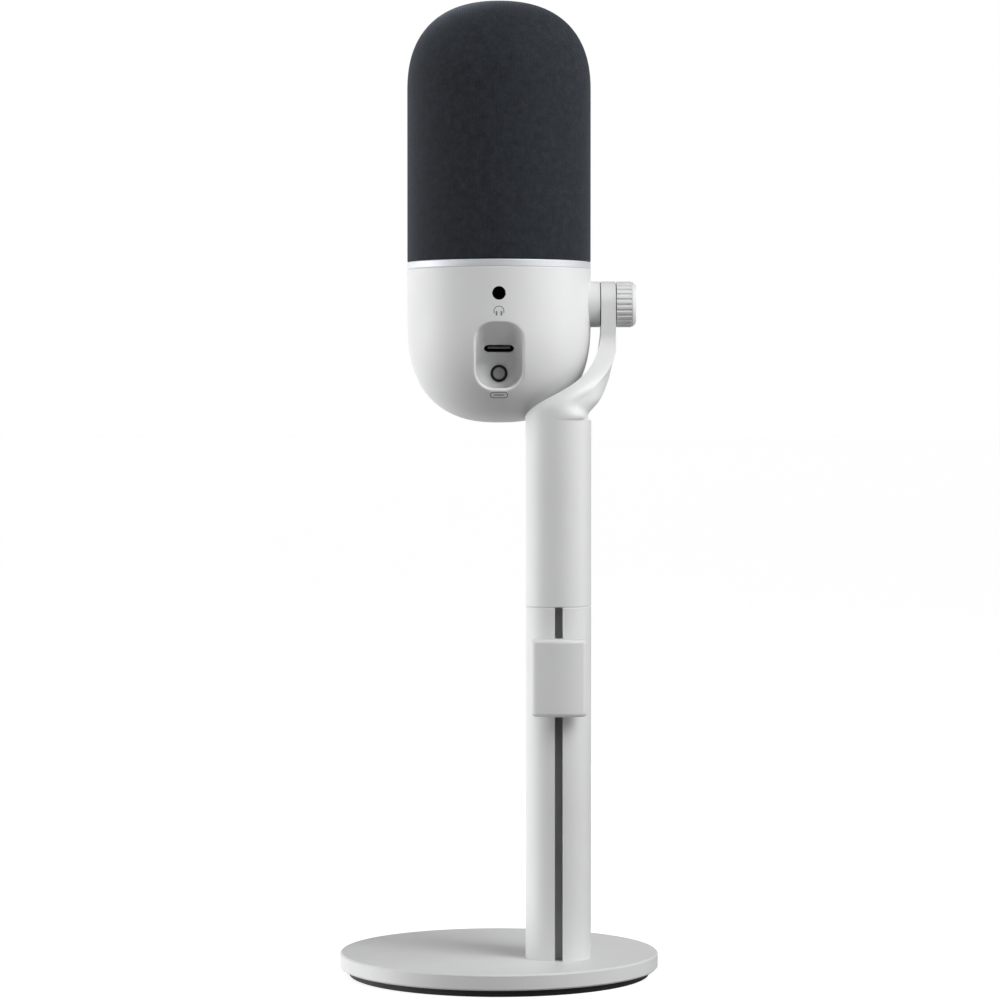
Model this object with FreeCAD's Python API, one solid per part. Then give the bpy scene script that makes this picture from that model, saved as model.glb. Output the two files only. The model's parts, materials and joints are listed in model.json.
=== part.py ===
"""Desktop USB microphone on a weighted round base, in millimetres.

Frame: origin at the centre of the base's underside, +Z up, -Y the rear with the
sockets, +X the side with the arm and the tilt knob.  The head stands over the
base's centre; the column stands off to the rear and to the +X side.
"""
import FreeCAD, Part
import math
import os

from FreeCAD import Vector

# ---- driving dimensions -------------------------------------------------
# base
BASE_R = 47.85
PAD_R = 45.2
PAD_TOP_Z = 2.2
BASE_TOP_Z = 6.9

# column
COLUMN_X = 17.65
COLUMN_Y = -12.5
COLUMN_R = 9.75
COLUMN_WALL = 1.5
COLUMN_SEAM_Z = 111.5
SLOT_W = 2.3

# head
HEAD_R = 27.5
HOUSING_WALL = 2.2
HOUSING_SHOULDER_Z = 196.1
HOUSING_BOTTOM_DEPTH = 30.06
HOUSING_POWER = 2.46
SEAM_Z = 211.8
TRIM_TOP_Z = 214.0
DOME_START_Z = 264.9
DOME_DEPTH = 27.15
DOME_POWER = 2.42
FABRIC_THICK = 1.2
CAGE_THICK = 1.0

# tilt pivot, a line along X through the head's axis
PIVOT_Z = 201.5
PIVOT_R = 6.85
BOSS_END_X = 30.2
ARM_IN_X = 30.5
ARM_OUT_X = 34.9
KNOB_IN_X = 35.2
KNURL_END_X = 39.6
KNOB_OUT_X = 41.0
KNURL_COUNT = 27
SCREW_R = 2.5
RUNNING_GAP = 0.05

# space swept by the head about the pivot line, as a superellipse of revolution
SWEEP_HALF_X = 31.0
SWEEP_R = 36.8
SWEEP_POWER = 2.6

# port pocket in the rear of the housing
POCKET_W = 13.7
POCKET_LOW_Z = 176.2
POCKET_HIGH_Z = 195.8
POCKET_CORNER_R = 5.5
POCKET_FLOOR_Y = -15.5
POCKET_WALL = 1.8
USB_CENTRE_Z = 187.8
USB_W = 8.94
USB_H = 3.26
USB_DEPTH = 6.5
BUTTON_Z = 180.6
BUTTON_R = 1.75
BEZEL_R = 2.55
JACK_Z = 204.0
JACK_BORE_R = 1.8
JACK_BORE_LENGTH = 14.0

# cable clip on the column
CLIP_W = 16.5
CLIP_LOW_Z = 79.6
CLIP_HIGH_Z = 102.4
CLIP_PROUD = 6.6
CLIP_GAP = 0.3

X_AXIS = Vector(1, 0, 0)
Y_AXIS = Vector(0, 1, 0)
Z_AXIS = Vector(0, 0, 1)
FAR = 80.0


# ---- helpers ------------------------------------------------------------
def cylinder_x(radius, x_low, x_high, y=0.0, z=PIVOT_Z):
    return Part.makeCylinder(radius, x_high - x_low, Vector(x_low, y, z), X_AXIS)


def cylinder_y(radius, y_low, y_high, x, z):
    return Part.makeCylinder(radius, y_high - y_low, Vector(x, y_low, z), Y_AXIS)


def cylinder_z(radius, z_low, z_high, x=0.0, y=0.0):
    return Part.makeCylinder(radius, z_high - z_low, Vector(x, y, z_low), Z_AXIS)


def box(x_low, x_high, y_low, y_high, z_low, z_high):
    corner = Vector(x_low, y_low, z_low)
    return Part.makeBox(x_high - x_low, y_high - y_low, z_high - z_low, corner)


def column_box(dx_low, dx_high, dy_low, dy_high, z_low, z_high):
    """A box placed from the column's axis."""
    return box(COLUMN_X + dx_low, COLUMN_X + dx_high,
               COLUMN_Y + dy_low, COLUMN_Y + dy_high, z_low, z_high)


def column_cylinder(radius, z_low, z_high):
    return cylinder_z(radius, z_low, z_high, COLUMN_X, COLUMN_Y)


def superellipse_edge(radius, shoulder_z, depth, power, steps=20):
    """Meridian from (radius, shoulder_z) to the axis, vertical then level."""
    points = []
    for i in range(steps + 1):
        angle = 0.5 * math.pi * i / steps
        r = radius * max(math.cos(angle), 0.0) ** (2.0 / power)
        rise = abs(depth) * math.sin(angle) ** (2.0 / power)
        points.append(Vector(r, 0, shoulder_z + math.copysign(rise, depth)))
    points[-1].x = 0.0
    curve = Part.BSplineCurve()
    curve.interpolate(Points=points,
                      InitialTangent=Vector(0, 0, math.copysign(1, depth)),
                      FinalTangent=Vector(-1, 0, 0))
    return curve.toShape()


def capped_round(radius, open_z, shoulder_z, depth, power):
    """Solid of revolution: a cylinder with one end closed by a superellipse."""
    pole = Vector(0, 0, shoulder_z + depth)
    start = Vector(0, 0, open_z)
    corner = Vector(radius, 0, open_z)
    shoulder = Vector(radius, 0, shoulder_z)
    edges = [
        Part.makeLine(start, corner),
        Part.makeLine(corner, shoulder),
        superellipse_edge(radius, shoulder_z, depth, power),
        Part.makeLine(pole, start),
    ]
    profile = Part.Face(Part.Wire(edges))
    return profile.revolve(Vector(0, 0, 0), Z_AXIS, 360)


def polygon_prism(points, direction):
    wire = Part.makePolygon(points + [points[0]])
    return Part.Face(wire).extrude(direction)


def ring_positions(radius, count, start_deg):
    """Points evenly spaced on a circle."""
    places = []
    for i in range(count):
        angle = math.radians(start_deg + 360.0 * i / count)
        places.append((radius * math.cos(angle), radius * math.sin(angle)))
    return places


def rounded(shape, radius, chosen):
    """Fillet the chosen edges, or fail with a plain message."""
    edges = [edge for edge in shape.Edges if chosen(edge)]
    if not edges:
        raise RuntimeError("no edges to round")
    return shape.makeFillet(radius, edges)


def save(name, shape):
    if not shape.isValid():
        raise RuntimeError(name + " is not valid")
    shape.exportStep("parts/" + name + ".step")
    print("%-22s %9.1f mm3  solids %d" % (name, shape.Volume, len(shape.Solids)))


# ---- base ---------------------------------------------------------------
BASE_CHAMFER = 0.45
BASE_SCREW_R = 3.0
BASE_SCREW_HEAD_R = 5.8
FOOT_TOP_Z = 19.5
DOWEL_R = 1.0
DOWEL_OFFSET = 5.6


def base_screw():
    head_depth = BASE_SCREW_HEAD_R - BASE_SCREW_R
    centre = Vector(COLUMN_X, COLUMN_Y, PAD_TOP_Z)
    head = Part.makeCone(BASE_SCREW_HEAD_R, BASE_SCREW_R, head_depth, centre, Z_AXIS)
    shank = column_cylinder(BASE_SCREW_R, PAD_TOP_Z, FOOT_TOP_Z - 1.8)
    return head.fuse(shank).removeSplitter()


def dowel():
    return cylinder_z(DOWEL_R, BASE_TOP_Z - 2.4, BASE_TOP_Z + 3.2, COLUMN_X + DOWEL_OFFSET, COLUMN_Y)


def base_plate():
    plate = cylinder_z(BASE_R, PAD_TOP_Z, BASE_TOP_Z)
    plate = plate.makeChamfer(BASE_CHAMFER, [e for e in plate.Edges if len(e.Vertexes) == 1])
    return plate.cut(base_screw()).cut(dowel())


def base_pad():
    pad = cylinder_z(PAD_R, 0.0, PAD_TOP_Z)
    return rounded(pad, 0.5, lambda e: len(e.Vertexes) == 1 and e.CenterOfMass.z < 0.1)


# ---- column -------------------------------------------------------------
BORE_R = COLUMN_R - COLUMN_WALL
LINER_HALF_W = 3.9
LINER_INNER_HALF_W = 2.9
LINER_BACK = -3.6
LINER_FACE = -4.6
STUD_R = 3.0
STUD_LOW_Z = 102.2
STUD_HIGH_Z = 123.5
PLUG_LOW_Z = 100.2
SEAM_CHAMFER = 0.25


def lower_column():
    tube = column_cylinder(COLUMN_R, BASE_TOP_Z, COLUMN_SEAM_Z)
    tube = tube.makeChamfer(SEAM_CHAMFER, [e for e in tube.Edges
                                           if len(e.Vertexes) == 1
                                           and e.CenterOfMass.z > BASE_TOP_Z + 1])
    tube = tube.cut(column_cylinder(BORE_R, BASE_TOP_Z, COLUMN_SEAM_Z))
    slot = column_box(-SLOT_W / 2, SLOT_W / 2, -FAR, -LINER_HALF_W, BASE_TOP_Z, COLUMN_SEAM_Z)
    return tube.cut(slot)


def track_liner():
    """U-shaped channel behind the slot, which guides the clip's runner."""
    outer = column_box(-LINER_HALF_W, LINER_HALF_W, -BORE_R, LINER_BACK,
                       BASE_TOP_Z, COLUMN_SEAM_Z)
    outer = outer.common(column_cylinder(BORE_R, BASE_TOP_Z, COLUMN_SEAM_Z))
    channel = column_box(-LINER_INNER_HALF_W, LINER_INNER_HALF_W, -FAR, LINER_FACE,
                         BASE_TOP_Z, COLUMN_SEAM_Z)
    return outer.cut(channel)


def column_core(z_low, z_high):
    """A plug that fills the tube behind the liner."""
    core = column_cylinder(BORE_R, z_low, z_high)
    return core.cut(column_box(-FAR, FAR, -FAR, LINER_BACK, z_low, z_high))


def column_foot():
    return column_core(BASE_TOP_Z, FOOT_TOP_Z).cut(base_screw()).cut(dowel())


def coupling_stud():
    return column_cylinder(STUD_R, STUD_LOW_Z, STUD_HIGH_Z)


def column_top_plug():
    return column_core(PLUG_LOW_Z, COLUMN_SEAM_Z).cut(coupling_stud())


# ---- upper arm ----------------------------------------------------------
ARM_BLEND_LOW_Z = 169.7
ARM_BLEND_HIGH_Z = 192.4
ARM_OUTLINE_R = 38.4
CREASE_LOW_Z = 172.1
CREASE_HIGH_Z = 188.7
SCREW_HOLE_R = 2.8


def smooth_step(value):
    value = min(max(value, 0.0), 1.0)
    return value * value * (3.0 - 2.0 * value)


def mix(a, b, share):
    return a + (b - a) * share


def arm_outer_x(z):
    """The arm's outer outline, an arc that ends upright beside the pivot."""
    drop = ARM_BLEND_HIGH_Z - min(z, ARM_BLEND_HIGH_Z)
    reach = math.sqrt(ARM_OUTLINE_R ** 2 - drop ** 2)
    return ARM_OUT_X - ARM_OUTLINE_R + reach


def on_column(angle_deg):
    angle = math.radians(angle_deg)
    return (COLUMN_X + COLUMN_R * math.cos(angle), COLUMN_Y + COLUMN_R * math.sin(angle))


def arm_section(z):
    """Four-edged section: the column's circle low down, a rectangle at the pivot."""
    share = (z - ARM_BLEND_LOW_Z) / (ARM_BLEND_HIGH_Z - ARM_BLEND_LOW_Z)
    share = min(max(share, 0.0), 1.0)
    turn = smooth_step(share)
    outward = (arm_outer_x(z) - arm_outer_x(ARM_BLEND_LOW_Z)) / (
        ARM_OUT_X - arm_outer_x(ARM_BLEND_LOW_Z))
    outward = min(max(outward, 0.0), 1.0)
    inner_x = mix(9.2, 26.0, share ** 1.3)
    crease_rise = min(max((z - CREASE_LOW_Z) / (CREASE_HIGH_Z - CREASE_LOW_Z), 0.0), 1.0)
    crease_share = math.sin(0.5 * math.pi * crease_rise)
    low = {
        "near_outer": on_column(-52), "outer": on_column(-16), "far_outer": on_column(22),
        "far": on_column(86), "far_inner": on_column(150), "inner": on_column(180),
        "near_inner": on_column(-150), "near": on_column(-100),
    }
    high = {
        "near_outer": (ARM_OUT_X, -PIVOT_R), "outer": (ARM_OUT_X, 0.0),
        "far_outer": (ARM_OUT_X, PIVOT_R), "far": (31.0, PIVOT_R),
        "far_inner": (26.0, PIVOT_R), "inner": (25.9, 0.0),
        "near_inner": (26.0, -PIVOT_R), "near": (31.0, -PIVOT_R),
    }
    points = {}
    for key in low:
        y = mix(low[key][1], high[key][1], turn)
        x = mix(low[key][0], high[key][0], share ** 1.3)
        points[key] = [x, y]
    points["near_outer"][0] = mix(low["near_outer"][0], ARM_OUT_X, crease_share)
    points["far_outer"][0] = mix(low["far_outer"][0], ARM_OUT_X, outward)
    points["outer"][0] = arm_outer_x(z) if z > ARM_BLEND_LOW_Z else low["outer"][0]
    points["near_inner"][0] = inner_x
    points["far_inner"][0] = inner_x
    corner = {key: Vector(value[0], value[1], z) for key, value in points.items()}
    order = ["near_inner", "near", "near_outer", "outer", "far_outer", "far", "far_inner", "inner"]
    edges = []
    for start in range(0, len(order), 2):
        a = corner[order[start]]
        m = corner[order[start + 1]]
        b = corner[order[(start + 2) % len(order)]]
        edges.append(bulged_edge(a, m, b))
    return Part.Wire(edges)


def bulged_edge(start, middle, end):
    """An arc through three points, or a line where they are in line."""
    bulge = middle.distanceToLine(start, end - start)
    if bulge < 0.001:
        return Part.makeLine(start, end)
    return Part.Arc(start, middle, end).toShape()


def sweep_clearance():
    """The room that the head needs as it turns about the pivot line."""
    steps = 24
    points = []
    for i in range(steps + 1):
        angle = 0.5 * math.pi * i / steps
        x = SWEEP_HALF_X * math.sin(angle) ** (2.0 / SWEEP_POWER)
        r = SWEEP_R * max(math.cos(angle), 0.0) ** (2.0 / SWEEP_POWER)
        points.append(Vector(x, 0, PIVOT_Z + r))
    points[-1].z = PIVOT_Z
    curve = Part.BSplineCurve()
    curve.interpolate(Points=points, InitialTangent=X_AXIS, FinalTangent=Vector(0, 0, -1))
    back = Vector(-SWEEP_HALF_X, 0, PIVOT_Z + SWEEP_R)
    base = Vector(-SWEEP_HALF_X, 0, PIVOT_Z)
    edges = [
        Part.makeLine(back, points[0]),
        curve.toShape(),
        Part.makeLine(points[-1], base),
        Part.makeLine(base, back),
    ]
    profile = Part.Face(Part.Wire(edges))
    swept = profile.revolve(Vector(0, 0, PIVOT_Z), X_AXIS, 360)
    return swept.common(box(-FAR, ARM_IN_X, -FAR, FAR, PIVOT_Z - FAR, PIVOT_Z + FAR))


def upper_arm():
    """The upper half of the column, which turns into the arm and its eye."""
    steps = [-3.0, 0.0, 2.4, 5.0, 8.0, 11.0, 14.0, 17.0, 20.0, ARM_BLEND_HIGH_Z - ARM_BLEND_LOW_Z]
    sections = [arm_section(ARM_BLEND_LOW_Z + step) for step in steps]
    blend = Part.makeLoft(sections, True, False)
    post = Part.Face(sections[0]).extrude(Vector(0, 0, COLUMN_SEAM_Z - ARM_BLEND_LOW_Z + 3.0))
    post = post.makeChamfer(SEAM_CHAMFER, [e for e in post.Edges
                                           if e.BoundBox.ZMax < COLUMN_SEAM_Z + 0.01])
    plate = box(26.0, ARM_OUT_X, -PIVOT_R, PIVOT_R, ARM_BLEND_HIGH_Z, PIVOT_Z)
    eye = cylinder_x(PIVOT_R, 26.0, ARM_OUT_X)
    arm = post.fuse(blend).fuse(plate).fuse(eye)
    arm = arm.cut(sweep_clearance())
    arm = arm.cut(cylinder_x(SCREW_HOLE_R, 20.0, ARM_OUT_X + 1))
    arm = arm.cut(column_cylinder(STUD_R, COLUMN_SEAM_Z, STUD_HIGH_Z + 1.0))
    return arm.removeSplitter()


def pivot_washer():
    washer = cylinder_x(PIVOT_R - 0.35, BOSS_END_X + 0.05, ARM_IN_X)
    return washer.cut(cylinder_x(SCREW_HOLE_R, BOSS_END_X, ARM_IN_X))


# ---- tilt knob ----------------------------------------------------------
GROOVE_R = 0.5
GROOVE_CENTRE_R = 6.95
KNOB_CAP_CHAMFER = 0.9
SCREW_TIP_X = 25.0
SCREW_HEAD_X = 39.0


def thrust_washer():
    washer = cylinder_x(PIVOT_R - 0.6, ARM_OUT_X + 0.02, KNOB_IN_X - 0.02)
    return washer.cut(cylinder_x(SCREW_R + RUNNING_GAP, ARM_OUT_X, KNOB_IN_X))


def knob_screw():
    return cylinder_x(SCREW_R, SCREW_TIP_X, SCREW_HEAD_X)


def tilt_knob():
    grip = cylinder_x(PIVOT_R, KNOB_IN_X, KNURL_END_X)
    grooves = []
    for y, z in ring_positions(GROOVE_CENTRE_R, KNURL_COUNT, 90.0):
        grooves.append(cylinder_x(GROOVE_R, KNOB_IN_X, KNURL_END_X, y, PIVOT_Z + z))
    grip = grip.cut(Part.makeCompound(grooves))
    cap = cylinder_x(PIVOT_R - 0.2, KNURL_END_X, KNOB_OUT_X)
    cap = cap.makeChamfer(KNOB_CAP_CHAMFER, [e for e in cap.Edges
                                             if len(e.Vertexes) == 1
                                             and e.CenterOfMass.x > KNOB_OUT_X - 0.1])
    return grip.fuse(cap).cut(knob_screw())


# ---- cable clip ---------------------------------------------------------
CLIP_OUT_R = COLUMN_R + CLIP_PROUD
CLIP_SHELL = 1.3
CLIP_CORNER_R = 2.4
CHANNEL_NEAR = 1.35
CHANNEL_FAR = 5.75
HOOK_TIP_DY = -11.9
RUNNER_HALF_W = 2.6
RUNNER_FRONT = -7.3
RUNNER_BACK = -5.3
STEM_HALF_W = 0.95
STEM_END = -13.0


def runner_stem(extra=0.0):
    low = CLIP_LOW_Z + 2.0
    high = CLIP_HIGH_Z - 2.0
    return column_box(-STEM_HALF_W - extra, STEM_HALF_W + extra, STEM_END, RUNNER_FRONT, low, high)


def cable_clip():
    """Curved plate on a middle web, with a hooked cable channel on each side."""
    plate = column_cylinder(CLIP_OUT_R, CLIP_LOW_Z, CLIP_HIGH_Z)
    front = column_box(-CLIP_W / 2, CLIP_W / 2, -FAR, -COLUMN_R, CLIP_LOW_Z, CLIP_HIGH_Z)
    body = plate.common(front)
    body = body.cut(column_cylinder(COLUMN_R + CLIP_GAP, CLIP_LOW_Z, CLIP_HIGH_Z))
    outer_dy = COLUMN_Y - COLUMN_R - 1.0
    body = rounded(body, CLIP_CORNER_R, lambda e: e.BoundBox.ZLength > 20
                   and e.CenterOfMass.y < outer_dy)
    body = rounded(body, 1.2, lambda e: e.CenterOfMass.y < outer_dy
                   and not (CLIP_LOW_Z + 1 < e.CenterOfMass.z < CLIP_HIGH_Z - 1)
                   and e.BoundBox.XLength > 5 and e.BoundBox.YMin < COLUMN_Y - CLIP_OUT_R + 0.1)
    inner = column_cylinder(CLIP_OUT_R - CLIP_SHELL, CLIP_LOW_Z, CLIP_HIGH_Z)
    for side in (-1, 1):
        near = side * CHANNEL_NEAR
        far = side * CHANNEL_FAR
        wall = side * (CLIP_W / 2 + 1.0)
        channel = column_box(min(near, far), max(near, far), -FAR, 0.0, CLIP_LOW_Z, CLIP_HIGH_Z)
        body = body.cut(channel.common(inner))
        mouth = column_box(min(near, wall), max(near, wall), HOOK_TIP_DY, 0.0,
                           CLIP_LOW_Z, CLIP_HIGH_Z)
        body = body.cut(mouth)
    return body.cut(runner_stem())


def clip_runner():
    low = CLIP_LOW_Z + 1.0
    high = CLIP_HIGH_Z - 1.0
    bar = column_box(-RUNNER_HALF_W, RUNNER_HALF_W, RUNNER_FRONT, RUNNER_BACK, low, high)
    return bar.fuse(runner_stem()).removeSplitter()


def runner_spring():
    """Bent leaf between the runner and the liner, which holds the clip by friction."""
    crest_y = LINER_FACE - 0.1
    thick = 0.25
    low_z = CLIP_LOW_Z + 3.0
    high_z = CLIP_HIGH_Z - 3.0
    third = (high_z - low_z) / 3.0
    y0 = COLUMN_Y + RUNNER_BACK
    y1 = COLUMN_Y + crest_y
    x = COLUMN_X - 1.8
    outline = [
        Vector(x, y0, low_z), Vector(x, y1 - thick, low_z + third),
        Vector(x, y1 - thick, high_z - third), Vector(x, y0, high_z),
        Vector(x, y0 + thick, high_z), Vector(x, y1, high_z - third),
        Vector(x, y1, low_z + third), Vector(x, y0 + thick, low_z),
    ]
    return polygon_prism(outline, Vector(3.6, 0, 0))


# ---- head housing -------------------------------------------------------
ROOF_CUT_Y = -45.0
POCKET_ROUNDING = 2.5
RIM_R = 0.7
BEZEL_NECK_R = 2.2
JACK_NOSE_R = 3.0
JACK_NOSE_Y = -26.7
JACK_BACK_Y = -11.0
LIGHT_R = 1.1
LIGHT_Z = 204.7
SEAM_CHAMFER_HEAD = 0.2
TRIM_EDGE_R = 0.25


def housing_outer():
    return capped_round(HEAD_R, SEAM_Z, HOUSING_SHOULDER_Z, -HOUSING_BOTTOM_DEPTH, HOUSING_POWER)


def seam_groove():
    """Space cut by the chamfers that meet where the trim ring sits on the housing."""
    half = SEAM_CHAMFER_HEAD
    low = Part.makeCone(HEAD_R, HEAD_R - half, half, Vector(0, 0, SEAM_Z - half), Z_AXIS)
    high = Part.makeCone(HEAD_R - half, HEAD_R, half, Vector(0, 0, SEAM_Z), Z_AXIS)
    disc = cylinder_z(HEAD_R + 1.0, SEAM_Z - half, SEAM_Z + half)
    return disc.cut(low.fuse(high))


def housing_inner():
    return capped_round(HEAD_R - HOUSING_WALL, SEAM_Z, HOUSING_SHOULDER_Z,
                        HOUSING_WALL - HOUSING_BOTTOM_DEPTH, HOUSING_POWER)


def roof_z(y):
    """The pocket's roof, a plane at 45 degrees through the top of its outline."""
    return POCKET_HIGH_Z - (y + HEAD_R)


def pocket_prism(grow):
    """The pocket's space, or with grow the outside of the wall around it."""
    half = POCKET_W / 2 + grow
    low = POCKET_LOW_Z - grow
    high = POCKET_HIGH_Z + grow
    floor = POCKET_FLOOR_Y + grow
    outline = box(-half, half, ROOF_CUT_Y, floor, low, high)
    outline = outline.makeFillet(POCKET_CORNER_R + grow, [
        e for e in outline.Edges if abs(e.BoundBox.YLength) > 5])
    lift = grow * math.sqrt(2.0)
    section = [
        Vector(-half - 1, ROOF_CUT_Y, roof_z(ROOF_CUT_Y) + lift),
        Vector(-half - 1, floor + 1, roof_z(floor + 1) + lift),
        Vector(-half - 1, floor + 1, low - 1),
        Vector(-half - 1, ROOF_CUT_Y, low - 1),
    ]
    return outline.common(polygon_prism(section, Vector(2 * half + 2, 0, 0)))


def pocket_space():
    space = pocket_prism(0.0)
    inner_y = POCKET_FLOOR_Y - 0.05
    return rounded(space, POCKET_ROUNDING, lambda e: e.BoundBox.YMax > inner_y
                   or (e.BoundBox.YMax > POCKET_FLOOR_Y - 13.0
                       and e.BoundBox.YMin > -HEAD_R - 8.0))


USB_CENTRE_Y = -HEAD_R + (POCKET_HIGH_Z - USB_CENTRE_Z)
HALF_ROOT = math.sqrt(0.5)
USB_INWARD = Vector(0, HALF_ROOT, HALF_ROOT)
USB_UP = Vector(0, -HALF_ROOT, HALF_ROOT)


def usb_oval(width, height, start, end):
    """Flat-sided oval prism along the USB socket's axis, from its mouth inward."""
    radius = height / 2
    reach = width / 2 - radius
    centre = Vector(0, USB_CENTRE_Y, USB_CENTRE_Z) + USB_INWARD * start
    up = USB_UP * radius
    side = X_AXIS * reach
    tip = X_AXIS * (width / 2)
    edges = [
        Part.makeLine(centre - side + up, centre + side + up),
        Part.Arc(centre + side + up, centre + tip, centre + side - up).toShape(),
        Part.makeLine(centre + side - up, centre - side - up),
        Part.Arc(centre - side - up, centre - tip, centre - side + up).toShape(),
    ]
    return Part.Face(Part.Wire(edges)).extrude(USB_INWARD * (end - start))


def usb_block(half_w, up_low, up_high, start, end):
    """Box square to the USB socket's axis."""
    centre = Vector(0, USB_CENTRE_Y, USB_CENTRE_Z) + USB_INWARD * start
    corners = [
        centre - X_AXIS * half_w + USB_UP * up_low,
        centre + X_AXIS * half_w + USB_UP * up_low,
        centre + X_AXIS * half_w + USB_UP * up_high,
        centre - X_AXIS * half_w + USB_UP * up_high,
    ]
    return polygon_prism(corners, USB_INWARD * (end - start))


def on_pocket_rim(edge, skin):
    """True where the pocket breaks through the outer wall."""
    span = edge.BoundBox
    level = span.ZMin > POCKET_LOW_Z - 0.6 and span.ZMax < POCKET_HIGH_Z + 0.6
    if span.YMax > -18.0 or span.XLength > POCKET_W + 1.0 or not level:
        return False
    return all(skin.distToShape(Part.Vertex(point))[0] < 0.01 for point in edge.discretize(5))


def lower_housing():
    outer = housing_outer()
    shell = outer.cut(housing_inner())
    bucket = pocket_prism(POCKET_WALL).common(outer)
    shell = shell.fuse(bucket).cut(pocket_space())
    shell = shell.cut(usb_oval(USB_W, USB_H, -6.0, USB_DEPTH + 2.0))
    shell = shell.cut(cylinder_y(BEZEL_NECK_R, POCKET_FLOOR_Y - 3.0, POCKET_FLOOR_Y + 4.0,
                                 0.0, BUTTON_Z))
    shell = shell.cut(cylinder_y(BEZEL_R + 0.05, POCKET_FLOOR_Y - 1.0, POCKET_FLOOR_Y,
                                 0.0, BUTTON_Z))
    shell = shell.cut(cylinder_y(JACK_BORE_R + 0.2, -HEAD_R - 1, -HEAD_R + 4, 0.0, JACK_Z))
    shell = shell.cut(cylinder_y(JACK_NOSE_R + RUNNING_GAP, JACK_NOSE_Y, -HEAD_R + 6, 0.0, JACK_Z))
    shell = shell.cut(cylinder_y(LIGHT_R, HEAD_R - 5, HEAD_R + 1, 0.0, LIGHT_Z))
    shell = shell.cut(cylinder_x(PIVOT_R + RUNNING_GAP, 20.0, 32.0))
    shell = shell.cut(seam_groove())
    return rounded(shell, RIM_R, lambda edge: on_pocket_rim(edge, outer.Shells[0]))


def trim_ring():
    band = cylinder_z(HEAD_R, SEAM_Z, TRIM_TOP_Z).cut(seam_groove())
    band = rounded(band, TRIM_EDGE_R, lambda e: len(e.Vertexes) == 1
                   and e.CenterOfMass.z > TRIM_TOP_Z - 0.1)
    ring = band.cut(cylinder_z(19.0, SEAM_Z, TRIM_TOP_Z))
    low_spigot = cylinder_z(HEAD_R - HOUSING_WALL - 0.1, SEAM_Z - 3.1, SEAM_Z)
    high_spigot = cylinder_z(25.2, TRIM_TOP_Z, TRIM_TOP_Z + 4.0)
    spigots = low_spigot.fuse(high_spigot).cut(cylinder_z(23.7, SEAM_Z - 4, TRIM_TOP_Z + 5))
    return ring.fuse(spigots).cut(deck_screws()).removeSplitter()


# ---- pivot boss ---------------------------------------------------------
BRACKET_IN_X = 21.0
BOSS_IN_X = 23.0
INSERT_R = 4.0
BOSS_SCREW_CIRCLE_R = 5.4
BOSS_SCREW_R = 0.8
BOSS_SCREW_HEAD_R = 1.5


def boss_screws():
    screws = []
    for y, z in ring_positions(BOSS_SCREW_CIRCLE_R, 3, 90.0):
        head = cylinder_x(BOSS_SCREW_HEAD_R, BRACKET_IN_X - 1.2, BRACKET_IN_X, y, PIVOT_Z + z)
        shank = cylinder_x(BOSS_SCREW_R, BRACKET_IN_X, BOSS_IN_X + 4.5, y, PIVOT_Z + z)
        screws.append(head.fuse(shank).removeSplitter())
    return Part.makeCompound(screws)


def pivot_boss():
    boss = cylinder_x(PIVOT_R, BOSS_IN_X, BOSS_END_X)
    return boss.cut(cylinder_x(INSERT_R, BOSS_IN_X + 1.0, BOSS_END_X)).cut(boss_screws())


def boss_insert():
    insert = cylinder_x(INSERT_R, BOSS_IN_X + 1.0, BOSS_END_X - 0.2)
    return insert.cut(cylinder_x(SCREW_R + RUNNING_GAP, BOSS_IN_X, BOSS_END_X))


# ---- chassis and electronics -------------------------------------------
DECK_R = 23.6
DECK_LOW_Z = SEAM_Z - 2.0
BOARD_FRONT_Y = -11.0
BOARD_THICK = 1.6
BOARD_LOW_Z = 177.7
BOARD_HIGH_Z = 207.7
SPINE_FRONT_Y = BOARD_FRONT_Y + BOARD_THICK
DECK_SCREW_CIRCLE_R = 21.4
ISOLATOR_R = 5.0
LEAD_X = 10.0


def deck_screws():
    screws = []
    for x, y in ring_positions(DECK_SCREW_CIRCLE_R, 4, 45.0):
        head = cylinder_z(1.6, DECK_LOW_Z - 1.2, DECK_LOW_Z, x, y)
        shank = cylinder_z(0.8, DECK_LOW_Z, TRIM_TOP_Z - 0.5, x, y)
        screws.append(head.fuse(shank).removeSplitter())
    return Part.makeCompound(screws)


def chassis():
    """Deck under the trim ring, with a spine for the board and a bracket for the boss."""
    deck = cylinder_z(DECK_R, DECK_LOW_Z, SEAM_Z)
    spine = box(-12.0, 12.0, SPINE_FRONT_Y, SPINE_FRONT_Y + 2.0, BOARD_LOW_Z - 2.0,
                DECK_LOW_Z)
    bracket = box(BRACKET_IN_X, BOSS_IN_X, -7.4, 7.4, PIVOT_Z - 7.8, DECK_LOW_Z)
    bracket = bracket.common(cylinder_z(DECK_R, PIVOT_Z - 9.8, SEAM_Z))
    frame = deck.fuse(spine).fuse(bracket).removeSplitter()
    frame = frame.cut(cylinder_z(ISOLATOR_R, DECK_LOW_Z, SEAM_Z))
    frame = frame.cut(cylinder_z(1.0, DECK_LOW_Z, SEAM_Z, LEAD_X, 0.0))
    frame = frame.cut(cylinder_y(LIGHT_R + 0.2, SPINE_FRONT_Y, SPINE_FRONT_Y + 2, 0.0, LIGHT_Z))
    return frame.cut(deck_screws()).cut(boss_screws())


def main_board():
    return box(-16.0, 16.0, BOARD_FRONT_Y, BOARD_FRONT_Y + BOARD_THICK, BOARD_LOW_Z,
               BOARD_HIGH_Z)


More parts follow.
